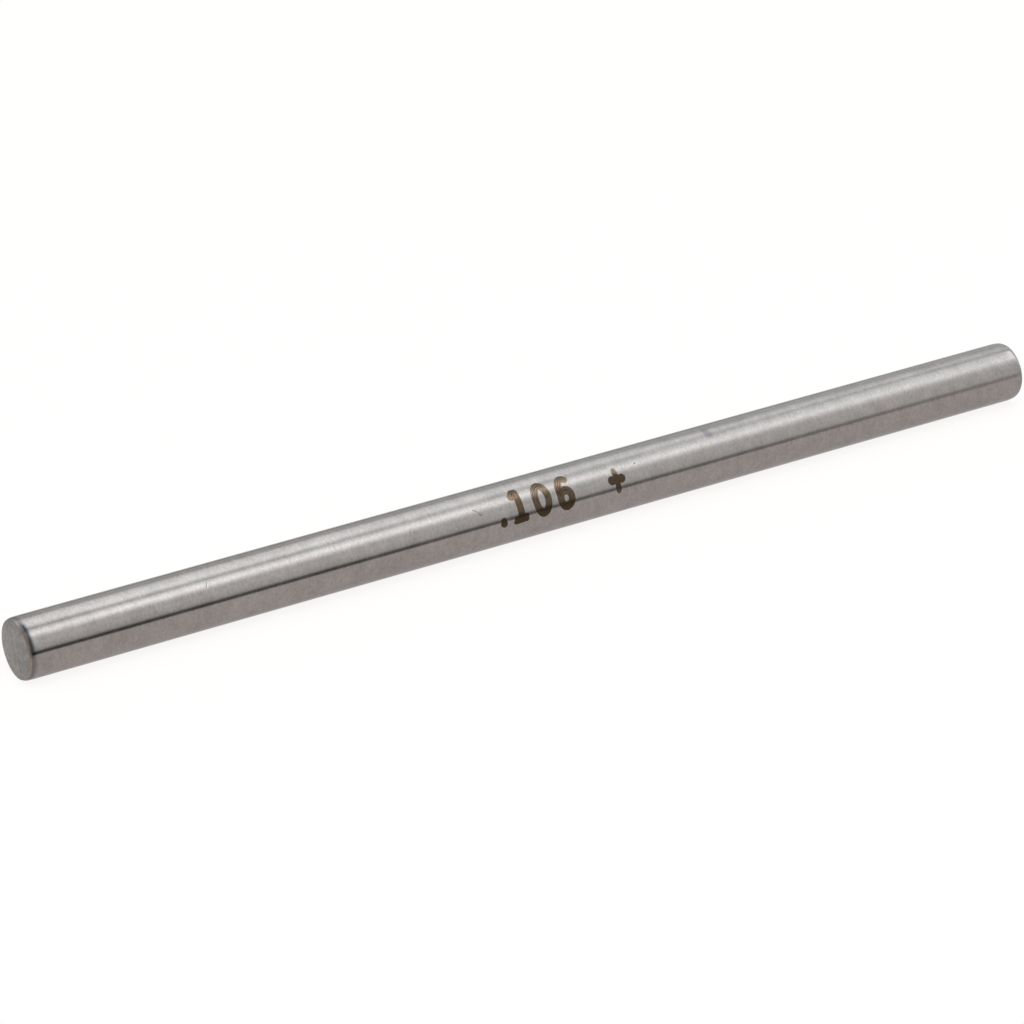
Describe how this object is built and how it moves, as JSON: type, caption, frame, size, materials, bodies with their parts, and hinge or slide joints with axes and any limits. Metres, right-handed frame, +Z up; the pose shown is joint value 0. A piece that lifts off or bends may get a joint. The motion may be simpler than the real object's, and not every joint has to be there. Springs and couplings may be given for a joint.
{
  "type": "pin gauge",
  "caption": "Ground and lapped steel plus pin gauge: a plain round pin with flat ends and broken edges, for gauging hole sizes.",
  "frame": {"origin": "centre of the pin, on its axis at half its length", "axes": "+X along the pin's axis, the way the size mark reads; +Z up, as the pin lies on a bench with its mark on the side of -Y and +Z"},
  "size_m": [0.0508, 0.0026, 0.0026],
  "materials": {
    "lapped_steel": "ground and lapped",
    "size_mark": "laser etched, brown oxide"
  },
  "bodies": {
    "root": {"gauge_pin": "lapped_steel"}
  },
  "joints": []
}
